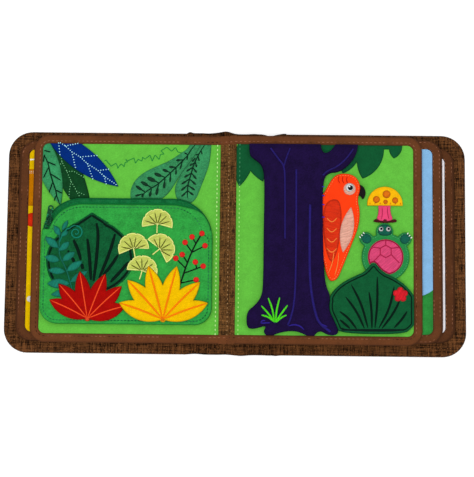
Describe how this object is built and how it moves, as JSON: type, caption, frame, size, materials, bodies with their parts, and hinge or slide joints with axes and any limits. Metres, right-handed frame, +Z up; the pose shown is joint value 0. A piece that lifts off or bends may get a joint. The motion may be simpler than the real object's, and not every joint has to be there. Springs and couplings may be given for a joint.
{
  "type": "quiet book",
  "caption": "Cloth activity book lying open: linen covers on a soft spine, bound felt leaves, a zip pouch and two slip pockets with loose felt figures.",
  "frame": {"origin": "on the table, under the middle of the open cover", "axes": "+X along the open spread from the front cover to the back cover, +Y from the foot of the pages to their head, +Z up"},
  "size_m": [0.459, 0.222, 0.0258],
  "materials": {
    "linen_case": "dark brown linen weave",
    "linen_strip": "dark brown linen weave",
    "grey_board": "plain board",
    "bias_binding": "brown cotton tape, stitched",
    "page_felt": "bright green felt",
    "pouch_felt": "green felt",
    "yellow_felt": "yellow felt",
    "blue_felt": "pale blue felt",
    "white_felt": "white felt",
    "amber_felt": "amber felt",
    "spot_felt": "red felt",
    "hill_felt": "green felt",
    "deep_green_felt": "deep green felt",
    "dark_leaf_cloth": "dark green cloth",
    "blue_leaf_cloth": "blue cloth",
    "sage_leaf_cloth": "sage green cloth",
    "teal_leaf_cloth": "blue-green cloth",
    "zip_cloth": "woven green tape",
    "zip_teeth": "dyed plastic teeth",
    "zip_metal": "green enamel, satin",
    "fern_satin": "satin stitch",
    "ginkgo_satin": "satin stitch",
    "stem_satin": "satin stitch",
    "berry_satin": "satin stitch",
    "red_felt": "red felt",
    "gold_felt": "golden yellow felt",
    "tree_felt": "dark violet felt",
    "bark_satin": "satin stitch",
    "grass_satin": "satin stitch",
    "orange_felt": "orange felt",
    "skin_satin": "satin stitch",
    "black_satin": "satin stitch",
    "pink_felt": "pink felt",
    "cap_felt": "orange-yellow felt"
  },
  "bodies": {
    "spine": {"spine_cloth": "linen_case", "centre_strip": "linen_strip", "strip_binding": "bias_binding"},
    "front_cover": {"front_cover": "linen_case", "front_board": "grey_board", "first_leaves": "yellow_felt", "first_leaves_binding": "bias_binding", "first_leaves_strip": "linen_strip", "first_page_band": "amber_felt", "first_page_spots": "spot_felt", "left_page": "page_felt", "left_page_binding": "bias_binding", "dark_leaf": "dark_leaf_cloth", "blue_leaf": "blue_leaf_cloth", "sage_leaf": "sage_leaf_cloth", "teal_leaf_low": "teal_leaf_cloth", "teal_leaf_high": "teal_leaf_cloth", "pouch_front": "pouch_felt", "zip_tape_outer": "zip_cloth", "zip_tape_inner": "zip_cloth", "zip_teeth_outer": "zip_teeth", "zip_teeth_inner": "zip_teeth", "zip_stops": "zip_metal", "shell_leaf": "deep_green_felt", "fern": "fern_satin", "ginkgo_leaves": "ginkgo_satin", "berry_stem": "stem_satin", "berries": "berry_satin", "red_leaf": "red_felt", "yellow_leaf": "gold_felt"},
    "zip_slider": {"zip_slider": "zip_metal"},
    "zip_puller": {"zip_puller": "zip_metal"},
    "back_cover": {"back_cover": "linen_case", "back_board": "grey_board", "fourth_leaves": "white_felt", "fourth_leaves_binding": "bias_binding", "fourth_leaves_strip": "linen_strip", "third_leaves": "blue_felt", "third_leaves_binding": "bias_binding", "third_leaves_strip": "linen_strip", "hill": "hill_felt", "right_page": "page_felt", "right_page_binding": "bias_binding", "foliage_left": "deep_green_felt", "foliage_right": "deep_green_felt", "tree_pocket": "tree_felt", "tree_bark": "bark_satin", "grass_tuft": "grass_satin", "leaf_pocket": "deep_green_felt", "parrot": "orange_felt", "parrot_patches": "skin_satin", "parrot_beak": "black_satin", "mushroom_stalk": "pink_felt", "mushroom_cap": "cap_felt", "tortoise": "deep_green_felt", "tortoise_shell": "pink_felt", "flower": "spot_felt"}
  },
  "joints": [
    {"name": "front_cover_turn", "type": "hinge", "parent": "spine", "child": "front_cover", "pos_m": [-0.012, 0, 0.017], "axis": [0, 1, 0], "range_deg": [0, 90]},
    {"name": "back_cover_turn", "type": "hinge", "parent": "spine", "child": "back_cover", "pos_m": [0.012, 0, 0.017], "axis": [0, -1, 0], "range_deg": [0, 90]},
    {"name": "zip_slider_run", "type": "hinge", "parent": "front_cover", "child": "zip_slider", "pos_m": [-0.1522, 0.0027, 0.0174], "axis": [0, 0, -1], "range_deg": [0, 60]},
    {"name": "zip_puller_flip", "type": "hinge", "parent": "zip_slider", "child": "zip_puller", "pos_m": [-0.18528, 0.01883, 0.0194], "axis": [0.9877, -0.1564, 0], "range_deg": [0, 160]}
  ]
}
